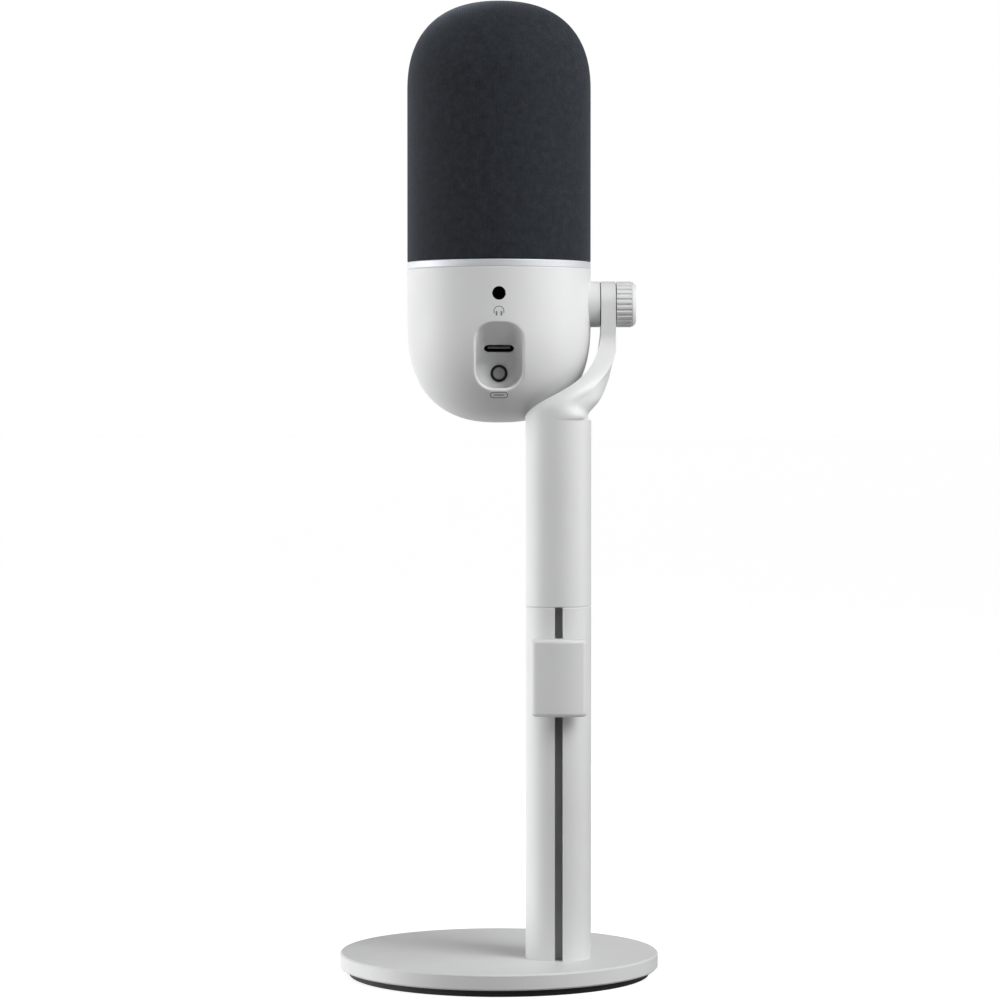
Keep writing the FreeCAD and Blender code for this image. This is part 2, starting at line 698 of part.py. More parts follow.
def board_parts():
    """The largest packages on the inner side of the main board, beside the spine."""
    chips = [
        box(-15.6, -12.6, SPINE_FRONT_Y, SPINE_FRONT_Y + 1.2, BOARD_LOW_Z + 4, BOARD_LOW_Z + 12),
        box(-15.6, -12.6, SPINE_FRONT_Y, SPINE_FRONT_Y + 1.2, BOARD_LOW_Z + 15, BOARD_LOW_Z + 20),
        box(12.6, 15.6, SPINE_FRONT_Y, SPINE_FRONT_Y + 1.2, BOARD_LOW_Z + 4, BOARD_LOW_Z + 10),
        cylinder_y(1.4, SPINE_FRONT_Y, SPINE_FRONT_Y + 5.0, -14.1, BOARD_LOW_Z + 24),
    ]
    return Part.makeCompound(chips)


def usb_shell():
    shell = usb_oval(USB_W, USB_H, 0.3, USB_DEPTH)
    return shell.cut(usb_oval(USB_W - 0.6, USB_H - 0.6, 0.0, USB_DEPTH - 0.8))


def usb_tongue():
    return usb_block(3.35, -0.35, 0.35, 0.4, USB_DEPTH - 0.8)


def port_board():
    return usb_block(7.0, -3.5, 3.5, USB_DEPTH, USB_DEPTH + 1.0)


def headphone_jack():
    nose = cylinder_y(JACK_NOSE_R, JACK_NOSE_Y, -HEAD_R + HOUSING_WALL, 0.0, JACK_Z)
    body = box(-3.1, 3.1, -24.4, JACK_BACK_Y, JACK_Z - 2.9, JACK_Z + 2.9)
    neck = cylinder_y(2.9, -HEAD_R + HOUSING_WALL, -24.4, 0.0, JACK_Z)
    jack = nose.fuse(neck).fuse(body).removeSplitter()
    return jack.cut(cylinder_y(JACK_BORE_R, JACK_NOSE_Y, JACK_NOSE_Y + JACK_BORE_LENGTH,
                               0.0, JACK_Z))


# ---- mode button --------------------------------------------------------
WALL_BACK_Y = POCKET_FLOOR_Y + POCKET_WALL
BUTTON_TRAVEL = 0.5


def button_bezel():
    flange = cylinder_y(BEZEL_R, POCKET_FLOOR_Y - 0.35, POCKET_FLOOR_Y, 0.0, BUTTON_Z)
    neck = cylinder_y(BEZEL_NECK_R, POCKET_FLOOR_Y, WALL_BACK_Y, 0.0, BUTTON_Z)
    ring = flange.fuse(neck).removeSplitter()
    return ring.cut(cylinder_y(BUTTON_R + 0.1, POCKET_FLOOR_Y - 1, WALL_BACK_Y, 0.0, BUTTON_Z))


def mode_button():
    cap = cylinder_y(BUTTON_R, POCKET_FLOOR_Y - 0.7, WALL_BACK_Y + 0.1, 0.0, BUTTON_Z)
    cap = rounded(cap, 0.3, lambda e: len(e.Vertexes) == 1
                  and e.CenterOfMass.y < POCKET_FLOOR_Y - 0.6)
    flange = cylinder_y(BEZEL_NECK_R + 0.3, WALL_BACK_Y + 0.1, WALL_BACK_Y + 0.6, 0.0, BUTTON_Z)
    stem = cylinder_y(0.8, WALL_BACK_Y + 0.6, WALL_BACK_Y + 1.1, 0.0, BUTTON_Z)
    return cap.fuse(flange).fuse(stem).removeSplitter()


def button_switch():
    face_y = WALL_BACK_Y + 1.1 + BUTTON_TRAVEL + 0.1
    return box(-2.0, 2.0, face_y, BOARD_FRONT_Y, BUTTON_Z - 2.0, BUTTON_Z + 2.0)


def status_light():
    """Clear pipe from the lamp on the main board to the front of the housing."""
    pipe = cylinder_y(LIGHT_R, SPINE_FRONT_Y, HEAD_R, 0.0, LIGHT_Z)
    return pipe.common(housing_outer())


# ---- microphone capsule -------------------------------------------------
CAPSULE_Z = 247.7
CAPSULE_R = 12.5
CAPSULE_HALF_DEPTH = 4.5
CRADLE_LOW_Z = 223.7


def capsule_isolator():
    """Rubber spool through the deck, which keeps handling noise from the capsule."""
    waist = cylinder_z(ISOLATOR_R, DECK_LOW_Z, SEAM_Z)
    top = cylinder_z(8.0, SEAM_Z, CRADLE_LOW_Z)
    bottom = cylinder_z(7.0, DECK_LOW_Z - 1.5, DECK_LOW_Z)
    return waist.fuse(top).fuse(bottom).removeSplitter()


def capsule_cradle():
    foot = cylinder_z(9.0, CRADLE_LOW_Z, CRADLE_LOW_Z + 3.0)
    post = box(-7.0, 7.0, -CAPSULE_HALF_DEPTH, CAPSULE_HALF_DEPTH, CRADLE_LOW_Z + 3.0, CAPSULE_Z)
    hoop = cylinder_y(CAPSULE_R + 2.0, -CAPSULE_HALF_DEPTH, CAPSULE_HALF_DEPTH, 0.0, CAPSULE_Z)
    cradle = foot.fuse(post).fuse(hoop).removeSplitter()
    return cradle.cut(cylinder_y(CAPSULE_R + RUNNING_GAP, -9.0, 9.0, 0.0, CAPSULE_Z))


def capsule_body():
    body = cylinder_y(CAPSULE_R, -CAPSULE_HALF_DEPTH, CAPSULE_HALF_DEPTH, 0.0, CAPSULE_Z)
    recess = cylinder_y(CAPSULE_R - 1.5, CAPSULE_HALF_DEPTH - 1.0, CAPSULE_HALF_DEPTH, 0.0, CAPSULE_Z)
    return body.cut(recess)


def capsule_diaphragm():
    front = CAPSULE_HALF_DEPTH - 0.7
    return cylinder_y(CAPSULE_R - 1.5, front - 0.3, front, 0.0, CAPSULE_Z)


def capsule_lead():
    """Screened lead from the back of the capsule down through the deck to the board."""
    radius = 0.75
    bend = 5.0
    turn = bend * (1 - HALF_ROOT)
    start_y = -CAPSULE_HALF_DEPTH
    back_y = start_y - 8.0
    top_z = CAPSULE_Z - 6.0
    low_z = TRIM_TOP_Z + 0.5
    start = Vector(LEAD_X, start_y, top_z)
    arc_start = Vector(LEAD_X, back_y + bend, top_z)
    arc_middle = Vector(LEAD_X, back_y + turn, top_z - turn)
    arc_end = Vector(LEAD_X, back_y, top_z - bend)
    foot = Vector(LEAD_X, back_y, low_z)
    path = Part.Wire([
        Part.makeLine(start, arc_start),
        Part.Arc(arc_start, arc_middle, arc_end).toShape(),
        Part.makeLine(arc_end, foot),
    ])
    section = Part.Wire([Part.Circle(start, Y_AXIS, radius).toShape()])
    return path.makePipeShell([section], True, True)


# ---- grille -------------------------------------------------------------
FOAM_THICK = 2.5
CAGE_R = HEAD_R - FABRIC_THICK
WINDOW_COUNT = 8
WINDOW_W = 14.0
RIB_GAP_Z = 3.0
WINDOW_ROWS = 3


def dome_shell(radius_out, radius_in, low_z):
    outer = capped_round(radius_out, low_z, DOME_START_Z,
                         DOME_DEPTH - (HEAD_R - radius_out), DOME_POWER)
    inner = capped_round(radius_in, low_z, DOME_START_Z,
                         DOME_DEPTH - (HEAD_R - radius_in), DOME_POWER)
    return outer.cut(inner)


def grille_fabric():
    return dome_shell(HEAD_R, HEAD_R - FABRIC_THICK, TRIM_TOP_Z)


def grille_cage():
    """Stiff cage under the cloth: rows of windows between ribs and hoops."""
    shell = dome_shell(CAGE_R, CAGE_R - CAGE_THICK, TRIM_TOP_Z)
    low = TRIM_TOP_Z + 7.0
    pitch = (DOME_START_Z + 8.0 - low) / WINDOW_ROWS
    cutters = []
    for row in range(WINDOW_ROWS):
        for i in range(WINDOW_COUNT):
            z_low = low + row * pitch
            cutter = box(10.0, 40.0, -WINDOW_W / 2, WINDOW_W / 2, z_low, z_low + pitch - RIB_GAP_Z)
            cutter = cutter.makeFillet(3.0, [e for e in cutter.Edges if e.BoundBox.XLength > 20])
            cutter.rotate(Vector(0, 0, 0), Z_AXIS, 360.0 * i / WINDOW_COUNT)
            cutters.append(cutter)
    for x, y in ring_positions(12.0, 6, 30.0):
        cutters.append(cylinder_z(4.0, DOME_START_Z + 10.0, DOME_START_Z + 40.0, x, y))
    return shell.cut(Part.makeCompound(cutters))


def inner_foam():
    outside = CAGE_R - CAGE_THICK - 0.1
    return dome_shell(outside, outside - FOAM_THICK, TRIM_TOP_Z + 4.2)


NODES = [
    base_plate, base_pad, base_screw, lower_column, track_liner, column_foot,
    column_top_plug, coupling_stud, upper_arm, pivot_washer, thrust_washer, tilt_knob,
    knob_screw, cable_clip, clip_runner, runner_spring, lower_housing, trim_ring,
    pivot_boss, boss_insert, boss_screws, deck_screws, chassis, main_board, board_parts,
    port_board, usb_shell, usb_tongue, headphone_jack, button_bezel, mode_button,
    button_switch, status_light, capsule_isolator, capsule_cradle, capsule_body,
    capsule_diaphragm, capsule_lead, grille_cage, inner_foam, grille_fabric,
]

os.makedirs("parts", exist_ok=True)
save("base_dowel", dowel())
for make in NODES:
    save(make.__name__, make())
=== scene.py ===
"""Looks for the desktop microphone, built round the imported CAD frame.

Metres throughout, in the frame's own axes: +Z up, -Y the rear with the sockets,
+X the side with the arm and the tilt knob.
"""
import json
import math

import bmesh
import bpy
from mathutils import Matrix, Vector


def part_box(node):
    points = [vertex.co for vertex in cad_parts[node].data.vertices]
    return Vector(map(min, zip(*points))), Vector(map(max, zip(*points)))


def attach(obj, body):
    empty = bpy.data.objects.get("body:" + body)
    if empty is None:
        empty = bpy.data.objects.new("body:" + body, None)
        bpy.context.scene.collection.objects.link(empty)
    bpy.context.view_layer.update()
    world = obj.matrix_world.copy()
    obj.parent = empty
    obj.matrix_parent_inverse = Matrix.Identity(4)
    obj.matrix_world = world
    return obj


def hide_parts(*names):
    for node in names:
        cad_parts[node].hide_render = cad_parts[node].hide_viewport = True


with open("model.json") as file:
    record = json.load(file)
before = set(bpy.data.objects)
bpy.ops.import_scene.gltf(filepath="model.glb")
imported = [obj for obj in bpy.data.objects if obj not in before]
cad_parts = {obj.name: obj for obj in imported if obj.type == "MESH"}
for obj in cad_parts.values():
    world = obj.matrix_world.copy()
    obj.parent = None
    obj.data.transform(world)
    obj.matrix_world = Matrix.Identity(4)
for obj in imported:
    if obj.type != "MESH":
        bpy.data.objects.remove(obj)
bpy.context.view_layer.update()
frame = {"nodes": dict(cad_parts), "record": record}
nodes = frame["nodes"]

MM = 0.001
GREY_INK = (0.20, 0.20, 0.205)


# ---- node-graph helpers -------------------------------------------------
class Graph:
    """A material under construction, with short calls for its nodes."""

    def __init__(self, name):
        self.material = bpy.data.materials.new(name)
        self.material.use_nodes = True
        self.tree = self.material.node_tree
        self.shader = self.tree.nodes["Principled BSDF"]
        self.coords = self.tree.nodes.new("ShaderNodeTexCoord")

    def add(self, kind, **settings):
        node = self.tree.nodes.new(kind)
        for key, value in settings.items():
            setattr(node, key, value)
        return node

    def link(self, source, target):
        self.tree.links.new(source, target)

    def set(self, **values):
        """Constants on the shader's own sockets; underscores stand for spaces."""
        for key, value in values.items():
            self.shader.inputs[key.replace("_", " ")].default_value = value

    def stretched(self, scale):
        """Object coordinates multiplied along each axis."""
        mapping = self.add("ShaderNodeMapping")
        mapping.inputs["Scale"].default_value = scale
        self.link(self.coords.outputs["Object"], mapping.inputs["Vector"])
        return mapping.outputs["Vector"]

    def noise(self, scale, detail=3.0, vector=None, roughness=0.5):
        node = self.add("ShaderNodeTexNoise")
        node.inputs["Scale"].default_value = scale
        node.inputs["Detail"].default_value = detail
        node.inputs["Roughness"].default_value = roughness
        self.link(vector or self.coords.outputs["Object"], node.inputs["Vector"])
        return node.outputs["Fac"]

    def voronoi(self, scale):
        node = self.add("ShaderNodeTexVoronoi")
        node.inputs["Scale"].default_value = scale
        self.link(self.coords.outputs["Object"], node.inputs["Vector"])
        return node.outputs["Distance"]

    def ramp(self, factor, stops):
        """Colour ramp from (position, colour) pairs."""
        node = self.add("ShaderNodeValToRGB")
        elements = node.color_ramp.elements
        while len(elements) < len(stops):
            elements.new(0.5)
        for element, (position, colour) in zip(elements, stops):
            element.position = position
            element.color = (*colour, 1.0)
        self.link(factor, node.inputs["Fac"])
        return node.outputs["Color"]

    def remap(self, value, low, high):
        """Spread the middle of a noise's range over the given range."""
        node = self.add("ShaderNodeMapRange")
        node.inputs["From Min"].default_value = 0.3
        node.inputs["From Max"].default_value = 0.7
        node.inputs["To Min"].default_value = low
        node.inputs["To Max"].default_value = high
        self.link(value, node.inputs["Value"])
        return node.outputs["Result"]

    def math(self, operation, *values):
        node = self.add("ShaderNodeMath", operation=operation)
        for socket, value in zip(node.inputs, values):
            if isinstance(value, (int, float)):
                socket.default_value = value
            else:
                self.link(value, socket)
        return node.outputs[0]

    def bump(self, height, distance, strength=1.0, under=None):
        node = self.add("ShaderNodeBump")
        node.inputs["Distance"].default_value = distance
        node.inputs["Strength"].default_value = strength
        self.link(height, node.inputs["Height"])
        if under is not None:
            self.link(under, node.inputs["Normal"])
        return node.outputs["Normal"]

    def colour(self, output):
        self.link(output, self.shader.inputs["Base Color"])

    def rough(self, output):
        self.link(output, self.shader.inputs["Roughness"])

    def normal(self, output):
        self.link(output, self.shader.inputs["Normal"])


def tint(colour, amount):
    return tuple(min(max(c * amount, 0.0), 1.0) for c in colour)


# ---- materials ----------------------------------------------------------
def grained(name, colour, roughness, grain_m, depth_m, spread=0.03):
    """A moulded, cast or painted surface: faint mottling and a fine even grain."""
    g = Graph(name)
    mottle = g.noise(28.0, 4.0)
    g.colour(g.ramp(mottle, [(0.30, tint(colour, 1 - spread)), (0.70, tint(colour, 1 + spread))]))
    g.rough(g.remap(g.noise(160.0, 3.0), roughness - 0.04, roughness + 0.05))
    grain = g.noise(1.0 / grain_m, 2.0)
    wave = g.noise(90.0, 1.0)
    soft = g.bump(wave, depth_m * 2.0, 0.35)
    g.normal(g.bump(grain, depth_m, 0.6, under=soft))
    return g.material


def brushed(name, colour, roughness, stretch, metallic=1.0):
    """Turned or brushed metal, its fine lines running across the stretched axis."""
    g = Graph(name)
    g.set(Metallic=metallic)
    lines = g.noise(1.0, 3.0, vector=g.stretched(stretch))
    g.colour(g.ramp(lines, [(0.25, tint(colour, 0.9)), (0.75, tint(colour, 1.06))]))
    g.rough(g.remap(lines, roughness - 0.06, roughness + 0.08))
    g.normal(g.bump(lines, 0.00002, 0.35))
    return g.material


def knit_material():
    """Dark melange knit: crossing rows of small stitches, with painted shade in the gaps between
    them and a fuzz at the edges.
    """
    g = Graph("knit_fabric")
    g.set(Sheen_Weight=0.30, Sheen_Roughness=0.35, Sheen_Tint=(0.62, 0.70, 0.82, 1.0),
          Specular_IOR_Level=0.2)
    uv = g.add("ShaderNodeUVMap", uv_map="stitches")
    split = g.add("ShaderNodeSeparateXYZ")
    g.link(uv.outputs["UV"], split.inputs[0])
    across, up = split.outputs["X"], split.outputs["Y"]
    half_shift = g.math("MULTIPLY", g.math("FLOOR", across), 0.5)
    row = g.math("FRACT", g.math("ADD", up, half_shift))
    column = g.math("FRACT", across)
    arch_x = g.math("SINE", g.math("MULTIPLY", column, math.pi))
    arch_y = g.math("SINE", g.math("MULTIPLY", row, math.pi))
    stitch = g.math("MULTIPLY", g.math("POWER", arch_x, 0.6), g.math("POWER", arch_y, 0.6))
    fibres = g.noise(5200.0, 2.0, roughness=0.7)
    height = g.math("ADD", stitch, g.math("MULTIPLY", fibres, 0.35))
    dark, mid, light = (0.0062, 0.0076, 0.0100), (0.0185, 0.0220, 0.0275), (0.040, 0.046, 0.055)
    yarn = g.noise(420.0, 5.0, roughness=0.75)
    # the yarn's own melange tone, plus painted shade that darkens the gaps between the raised
    # stitches
    yarn_tone_and_gap_shade = g.math("ADD", g.math("MULTIPLY", stitch, 0.22), g.math("MULTIPLY", yarn, 0.86))
    g.colour(g.ramp(yarn_tone_and_gap_shade, [(0.18, dark), (0.52, mid), (0.95, light)]))
    g.rough(g.remap(yarn, 0.86, 0.98))
    g.normal(g.bump(height, 0.00010, 0.45))
    return g.material


def foam_material():
    g = Graph("foam")
    g.set(Roughness=0.95, Specular_IOR_Level=0.15)
    cells = g.voronoi(1400.0)
    # darker towards each cell's middle, where the bump sinks: painted shade in the cell pits
    g.colour(g.ramp(cells, [(0.05, (0.006, 0.006, 0.007)), (0.6, (0.035, 0.035, 0.038))]))
    g.normal(g.bump(cells, 0.0003, 0.9))
    return g.material


def board_material():
    g = Graph("circuit_board")
    g.set(Specular_IOR_Level=0.5)
    traces = g.add("ShaderNodeTexBrick")
    traces.inputs["Scale"].default_value = 420.0
    traces.inputs["Color1"].default_value = (0.010, 0.070, 0.030, 1)
    traces.inputs["Color2"].default_value = (0.014, 0.100, 0.045, 1)
    traces.inputs["Mortar"].default_value = (0.030, 0.160, 0.075, 1)
    g.link(g.coords.outputs["Object"], traces.inputs["Vector"])
    g.colour(traces.outputs["Color"])
    g.rough(g.remap(g.noise(300.0), 0.3, 0.45))
    g.normal(g.bump(traces.outputs["Fac"], 0.00003, 0.5))
    return g.material


def clear_material():
    g = Graph("clear_plastic")
    g.set(Transmission_Weight=0.85, IOR=1.49)
    g.colour(g.ramp(g.noise(60.0), [(0.3, (0.80, 0.95, 0.84)), (0.7, (0.86, 0.98, 0.90))]))
    g.rough(g.remap(g.noise(900.0), 0.12, 0.25))
    return g.material


PAINT = (0.72, 0.722, 0.725)
MATERIALS = {
    "white_metal": grained("white_metal", PAINT, 0.42, 0.00045, 0.000010),
    "white_alloy": grained("white_alloy", PAINT, 0.42, 0.00045, 0.000010),
    "white_plastic": grained("white_plastic", tint(PAINT, 0.99), 0.46, 0.00035, 0.000012),
    "trim_alloy": brushed("trim_alloy", (0.70, 0.72, 0.75), 0.46, (60.0, 60.0, 9000.0), 0.25),
    "pad_rubber": grained("pad_rubber", (0.022, 0.022, 0.024), 0.8, 0.0006, 0.00005, 0.12),
    "steel": brushed("steel", (0.58, 0.58, 0.60), 0.34, (300.0, 2500.0, 2500.0)),
    "dark_steel": brushed("dark_steel", (0.018, 0.018, 0.020), 0.4, (900.0, 900.0, 300.0)),
    "bare_alloy": brushed("bare_alloy", (0.70, 0.71, 0.73), 0.38, (2000.0, 2000.0, 300.0)),
    "dark_plastic": grained("dark_plastic", (0.088, 0.090, 0.094), 0.55, 0.0004, 0.00002, 0.08),
    "black_plastic": grained("black_plastic", (0.008, 0.008, 0.009), 0.42, 0.0004, 0.00002, 0.1),
    "button_plastic": grained("button_plastic", (0.32, 0.32, 0.325), 0.38, 0.0003, 0.00001, 0.05),
    "washer_plastic": grained("washer_plastic", (0.03, 0.03, 0.03), 0.5, 0.0004, 0.00001, 0.1),
    "chassis_plastic": grained("chassis_plastic", (0.03, 0.03, 0.034), 0.6, 0.0005, 0.00003, 0.1),
    "circuit_board": board_material(),
    "clear_plastic": clear_material(),
    "isolator_rubber": grained("isolator_rubber", (0.03, 0.03, 0.03), 0.8, 0.0005, 0.00004, 0.1),
    "brass_insert": brushed("brass_insert", (0.72, 0.52, 0.22), 0.32, (300.0, 2500.0, 2500.0)),
    "capsule_brass": brushed("capsule_brass", (0.70, 0.55, 0.28), 0.35, (2500.0, 300.0, 2500.0)),
    "capsule_gold": brushed("capsule_gold", (0.90, 0.66, 0.26), 0.18, (500.0, 300.0, 500.0)),
    "foam": foam_material(),
    "knit_fabric": knit_material(),
}
INK = grained("printed_ink", GREY_INK, 0.5, 0.0002, 0.000004, 0.06)
GOLD = brushed("contact_gold", (0.85, 0.62, 0.25), 0.25, (4000.0, 800.0, 800.0))


NODE_MATERIALS = {
    # the liner is dark plastic; its grey is painted far lighter, as painted light that lifts the
    # shade deep in the column's slot
    "track_liner": grained("track_plastic_painted_light", (0.62, 0.62, 0.63), 0.55, 0.0004, 0.00002, 0.05),
    "usb_tongue": grained("tongue_plastic", (0.15, 0.15, 0.155), 0.5, 0.0003, 0.00001, 0.05),
}


def paint_cad_nodes():
    for part in frame["record"]["subparts"]:
        mesh = nodes[part["node"]].data
        mesh.materials.clear()
        slot_material = MATERIALS[part["material_slot"]]
        mesh.materials.append(NODE_MATERIALS.get(part["node"], slot_material))


# ---- mesh helpers -------------------------------------------------------
def mesh_piece(name, points, faces, material, body, smooth=True):
    mesh = bpy.data.meshes.new(name)
    mesh.from_pydata(points, [], faces)
    mesh.validate()
    for polygon in mesh.polygons:
        polygon.use_smooth = smooth
    mesh.materials.append(material)
    piece = bpy.data.objects.new(name, mesh)
    bpy.context.scene.collection.objects.link(piece)
    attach(piece, body)
    return piece


def superellipse(radius, rise, power, steps):
    """(radius, height) pairs from the shoulder to the pole, without the pole."""
    pairs = []
    for i in range(steps):
        angle = 0.5 * math.pi * i / steps
        pairs.append((radius * math.cos(angle) ** (2.0 / power),
                      rise * math.sin(angle) ** (2.0 / power)))
    return pairs


def turned(profile, segments, bulge=None):
    """Points and quads of a surface turned about Z; the profile's ends are left open."""
    points = []
    for k, (radius, z) in enumerate(profile):
        for i in range(segments):
            angle = 2.0 * math.pi * i / segments
            r = radius + (bulge(k, i) if bulge else 0.0)
            points.append((r * math.cos(angle), r * math.sin(angle), z))
    faces = []
    for k in range(len(profile) - 1):
        for i in range(segments):
            j = (i + 1) % segments
            faces.append((k * segments + i, k * segments + j,
                          (k + 1) * segments + j, (k + 1) * segments + i))
    return points, faces


def domed_profile(radius, low_z, rise, side_steps, dome_steps):
    """(radius, height) pairs of a straight side and the dome on it, without the pole."""
    pairs = [(radius, low_z + (DOME_START_Z - low_z) * k / side_steps) for k in range(side_steps)]
    return pairs + [(r, DOME_START_Z + z)
                    for r, z in superellipse(radius, rise, DOME_POWER, dome_steps)]


def add_inner_surface(points, faces, profile, segments, pole_z):
    """A turned surface facing inwards, closed at its pole; returns its first point's index."""
    inner_points, inner_faces = turned(profile, segments)
    offset = len(points)
    points += inner_points
    faces += [tuple(reversed([index + offset for index in face])) for face in inner_faces]
    close_pole(points, faces, offset + (len(profile) - 1) * segments, segments, pole_z, False)
    return offset


def close_pole(points, faces, ring_start, segments, z, upward):
    """A fan from a ring to a pole point on the axis."""
    pole = len(points)
    points.append((0.0, 0.0, z))
    for i in range(segments):
        a, b = ring_start + i, ring_start + (i + 1) % segments
        faces.append((a, b, pole) if upward else (b, a, pole))


# ---- the knit sock ------------------------------------------------------
low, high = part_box("grille_fabric")
HEAD_R = high.x
SOCK_LOW_Z = low.z
HEAD_TOP_Z = high.z
DOME_RISE = 27.15 * MM
DOME_POWER = 2.42
DOME_START_Z = HEAD_TOP_Z - DOME_RISE
SOCK_THICK = 1.0 * MM
HEM_R = 0.55 * MM
HEM_STEPS = 6
WALES = 240
COURSE_PITCH = 0.55 * MM
RIB_DEPTH = 0.015 * MM
# the ribs start over this height above the hem, and fade out over the dome's foot
RIB_START = 1.5 * MM
RIB_END = 10.0 * MM
RIB_FADE = 8.0 * MM
OUTER_DOME_STEPS = 72
INNER_DOME_STEPS = 14
INNER_SIDE_STEPS = 8
# the dome's coordinates lie flat where its surface faces up more than this
DOME_TOP_SLOPE = 0.62
WELD_DISTANCE = 0.001 * MM


def knit_sock():
    """The stretched sock: outer face with fine ribs, tucked hem and plain inner face."""
    segments = WALES * 2
    outer = []
    for i in range(HEM_STEPS + 1):
        angle = 0.5 * math.pi * i / HEM_STEPS
        outer.append((HEAD_R - HEM_R + HEM_R * math.sin(angle),
                      SOCK_LOW_Z + HEM_R - HEM_R * math.cos(angle)))
    side_height = DOME_START_Z - SOCK_LOW_Z - HEM_R
    rows = int(side_height / COURSE_PITCH)
    for k in range(1, rows):
        outer.append((HEAD_R, SOCK_LOW_Z + HEM_R + side_height / rows * k))
    for r, z in superellipse(HEAD_R, DOME_RISE, DOME_POWER, OUTER_DOME_STEPS):
        outer.append((r, DOME_START_Z + z))

    def rib(k, i):
        z = outer[k][1]
        fade = min(max((DOME_START_Z + RIB_END - z) / RIB_FADE, 0.0), 1.0)
        start = min(max((z - SOCK_LOW_Z) / RIB_START, 0.0), 1.0)
        return -RIB_DEPTH * (i % 2) * fade * start

    points, faces = turned(outer, segments, rib)
    close_pole(points, faces, (len(outer) - 1) * segments, segments, HEAD_TOP_Z, True)
    inner_r = HEAD_R - SOCK_THICK
    inner = [(HEAD_R - HEM_R, SOCK_LOW_Z)]
    inner += domed_profile(inner_r, SOCK_LOW_Z, DOME_RISE - SOCK_THICK,
                           INNER_SIDE_STEPS, INNER_DOME_STEPS)
    add_inner_surface(points, faces, inner, segments, HEAD_TOP_Z - SOCK_THICK)
    sock = mesh_piece("knit_sock", points, faces, MATERIALS["knit_fabric"], "head")
    weld = bmesh.new()
    weld.from_mesh(sock.data)
    bmesh.ops.remove_doubles(weld, verts=weld.verts, dist=WELD_DISTANCE)
    weld.to_mesh(sock.data)
    weld.free()
    stitch_coordinates(sock.data)
    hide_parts("grille_fabric")


def stitch_coordinates(mesh):
    """Wales and courses as coordinates: wrapped round the side, laid flat over the dome."""
    layer = mesh.uv_layers.new(name="stitches")
    pitch = 2.0 * math.pi * HEAD_R / WALES
    for polygon in mesh.polygons:
        centre = polygon.center
        over_top = polygon.normal.z > DOME_TOP_SLOPE and centre.z > DOME_START_Z
        base = math.atan2(centre.y, centre.x)
        for loop in polygon.loop_indices:
            co = mesh.vertices[mesh.loops[loop].vertex_index].co
            if over_top:
                layer.data[loop].uv = (co.x / pitch, co.y / COURSE_PITCH)
                continue
            angle = math.atan2(co.y, co.x)
            if angle - base > math.pi:
                angle -= 2.0 * math.pi
            if base - angle > math.pi:
                angle += 2.0 * math.pi
            layer.data[loop].uv = (angle * HEAD_R / pitch, co.z / COURSE_PITCH)


# ---- foam liner ---------------------------------------------------------
FOAM_CLEARANCE = 0.15 * MM
FOAM_THICK = 2.2 * MM
FOAM_SEGMENTS = 96
FOAM_SIDE_STEPS = 30
FOAM_DOME_STEPS = 24
CELL_DEPTH = 0.06 * MM
# uneven turns in radians, so that neighbouring cells never line up
CELL_TURN = 2.399
CELL_ROW_TURN = 1.7


def foam_liner():
    """Moulded foam cup inside the cage, its outside roughened by open cells."""
    low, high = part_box("inner_foam")
    radius = high.x - FOAM_CLEARANCE
    inner_r = radius - FOAM_THICK
    rise = DOME_RISE - (HEAD_R - radius)
    segments = FOAM_SEGMENTS

    def cells(k, i):
        return CELL_DEPTH * math.sin(i * CELL_TURN + k * CELL_ROW_TURN)

    outer = domed_profile(radius, low.z, rise, FOAM_SIDE_STEPS, FOAM_DOME_STEPS)
    points, faces = turned(outer, segments, cells)
    close_pole(points, faces, (len(outer) - 1) * segments, segments, DOME_START_Z + rise, True)
    inner = domed_profile(inner_r, low.z, rise - FOAM_THICK, FOAM_SIDE_STEPS, FOAM_DOME_STEPS)
    offset = add_inner_surface(points, faces, inner, segments, DOME_START_Z + rise - FOAM_THICK)
    for i in range(segments):
        j = (i + 1) % segments
        faces.append((i, offset + i, offset + j, j))
    liner = mesh_piece("foam_liner", points, faces, MATERIALS["foam"], "head")
    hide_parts("inner_foam")


# ---- printed symbols on the housing ------------------------------------
housing_low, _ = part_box("lower_housing")
SHOULDER_Z = 196.1 * MM
BOTTOM_POWER = 2.46
INK_PROUD = 0.03 * MM
INK_STEP = 0.3 * MM
HEADPHONE_TOP_Z = 200.15 * MM
HEADPHONE_R = 1.45 * MM
HEADPHONE_FOOT = 2.1 * MM
EAR_X = 0.72 * MM
EAR_TOP = 1.45 * MM
EAR_FOOT = 2.75 * MM
PORT_Z = 174.15 * MM
PORT_HALF_W = 1.75 * MM
PORT_R = 0.8 * MM
PORT_BAR_HALF_W = 1.35 * MM


def housing_radius(z):
    """The housing's outer radius at a height."""
    if z >= SHOULDER_Z:
        return HEAD_R
    depth = (SHOULDER_Z - z) / (SHOULDER_Z - housing_low.z)
    return HEAD_R * (1.0 - depth ** BOTTOM_POWER) ** (1.0 / BOTTOM_POWER)


def on_housing(x, z, lift):
    """A point on the housing's rear face, lifted off it."""
    radius = housing_radius(z)
    angle = x / radius
    return ((radius + lift) * math.sin(angle), -(radius + lift) * math.cos(angle), z)


def band_outline(path, width):
    """Left and right edges of a line of even width along a flat path."""
    left, right = [], []
    for i, (x, z) in enumerate(path):
        x0, z0 = path[max(i - 1, 0)]
        x1, z1 = path[min(i + 1, len(path) - 1)]
        run, rise = x1 - x0, z1 - z0
        length = math.hypot(run, rise)
        nx, nz = -rise / length * width / 2, run / length * width / 2
        left.append((x + nx, z + nz))
        right.append((x - nx, z - nz))
    return left, right


